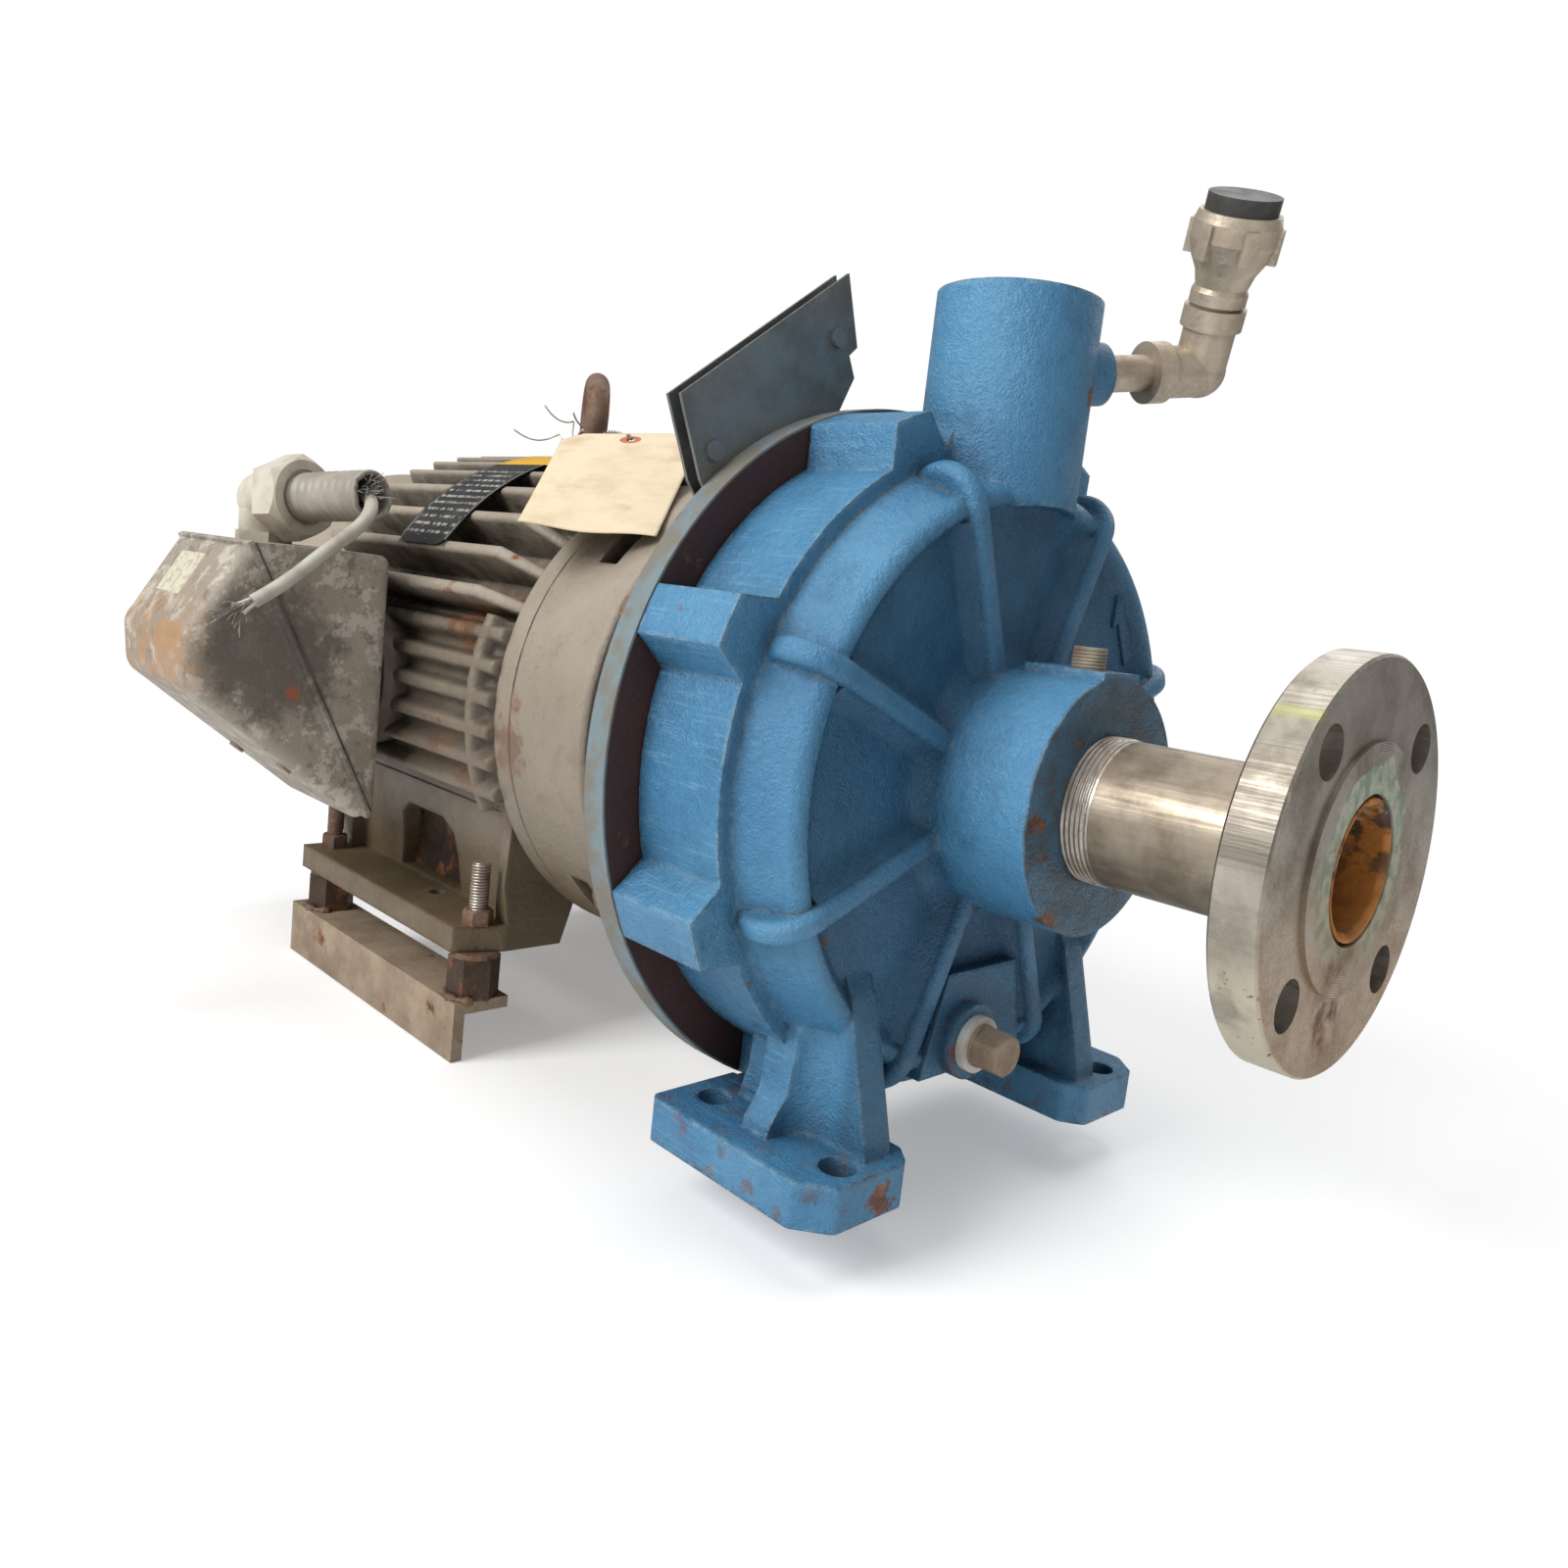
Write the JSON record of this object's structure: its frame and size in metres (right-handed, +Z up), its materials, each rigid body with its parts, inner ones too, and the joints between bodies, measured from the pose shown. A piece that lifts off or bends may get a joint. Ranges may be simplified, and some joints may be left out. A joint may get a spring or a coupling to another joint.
{
  "type": "centrifugal pump",
  "caption": "Close-coupled centrifugal pump: cast volute casing with flanged suction and top discharge, on a finned electric motor with feet, rails and conduit box.",
  "frame": {"origin": "centre of the four holes in the pump's feet, on the face that the feet stand on", "axes": "+X along the shaft and out of the suction flange, +Z up, out of the discharge neck"},
  "size_m": [0.7113, 0.402, 0.4585],
  "materials": {
    "blue_iron_paint": "weathered blue paint on rough casting",
    "bracket_iron": "dark red-brown primer, bare grey rim",
    "bronze": "dull as cast",
    "motor_paint": "weathered grey-taupe paint",
    "machined_steel": "turned, scratched",
    "stainless_steel": "dull, stained",
    "plain_steel": "dull, stained",
    "rusty_steel": "rusty",
    "lamination_steel": "bare laminations",
    "winding_copper": "varnished",
    "gasket_sheet": "pressed fibre sheet",
    "thread_tape": "white",
    "dark_fitting": "dark, worn",
    "fan_plastic": "moulded",
    "seal_carbon": "lapped carbon",
    "slinger_rubber": "matte",
    "connector_grey": "aged light grey",
    "conduit_grey": "aged grey",
    "cable_jacket": "dusty light grey",
    "plate_black": "black, worn",
    "tag_card": "manila card"
  },
  "bodies": {
    "pump": {"volute_casing": "blue_iron_paint", "bracket": "bracket_iron", "drive_end_bell": "motor_paint", "motor_frame": "motor_paint", "rear_bell": "motor_paint", "fan_cover": "motor_paint", "conduit_base": "motor_paint", "conduit_cover": "motor_paint", "suction_flange": "machined_steel", "front_bearing_outer_race": "machined_steel", "rear_bearing_outer_race": "machined_steel", "suction_nipple": "stainless_steel", "vent_nipple": "stainless_steel", "vent_elbow": "stainless_steel", "vent_coupling": "stainless_steel", "rail_left": "plain_steel", "rail_right": "plain_steel", "guard_plate_front": "plain_steel", "guard_plate_rear": "plain_steel", "guard_spacers": "plain_steel", "guard_screws": "plain_steel", "fan_cover_screws": "plain_steel", "conduit_screws": "plain_steel", "eyebolt": "rusty_steel", "foot_studs": "rusty_steel", "foot_nuts": "rusty_steel", "foot_spacers": "rusty_steel", "foot_washers": "rusty_steel", "casing_bolts": "rusty_steel", "bracket_bolts": "rusty_steel", "drain_plug": "rusty_steel", "gauge_plug": "rusty_steel", "stator_core": "lamination_steel", "stator_windings": "winding_copper", "casing_gasket": "gasket_sheet", "conduit_gasket": "gasket_sheet", "thread_tape": "thread_tape", "vent_cap": "dark_fitting", "seal_seat": "seal_carbon", "conduit_connector": "connector_grey", "conduit_nut": "connector_grey", "conduit_stub": "conduit_grey", "loose_cable": "cable_jacket", "nameplate": "plate_black", "paper_tag": "tag_card"},
    "rotor": {"motor_shaft": "machined_steel", "impeller": "bronze", "impeller_key": "machined_steel", "impeller_screw": "machined_steel", "shaft_sleeve": "machined_steel", "seal_head": "seal_carbon", "seal_spring": "machined_steel", "water_slinger": "slinger_rubber", "front_bearing_inner_race": "machined_steel", "front_bearing_balls": "machined_steel", "rear_bearing_inner_race": "machined_steel", "rear_bearing_balls": "machined_steel", "rotor_core": "lamination_steel", "cooling_fan": "fan_plastic"}
  },
  "joints": [
    {"name": "rotor_spin", "type": "hinge", "parent": "pump", "child": "rotor", "pos_m": [0, 0, 0.165], "axis": [1, 0, 0], "continuous": true}
  ]
}
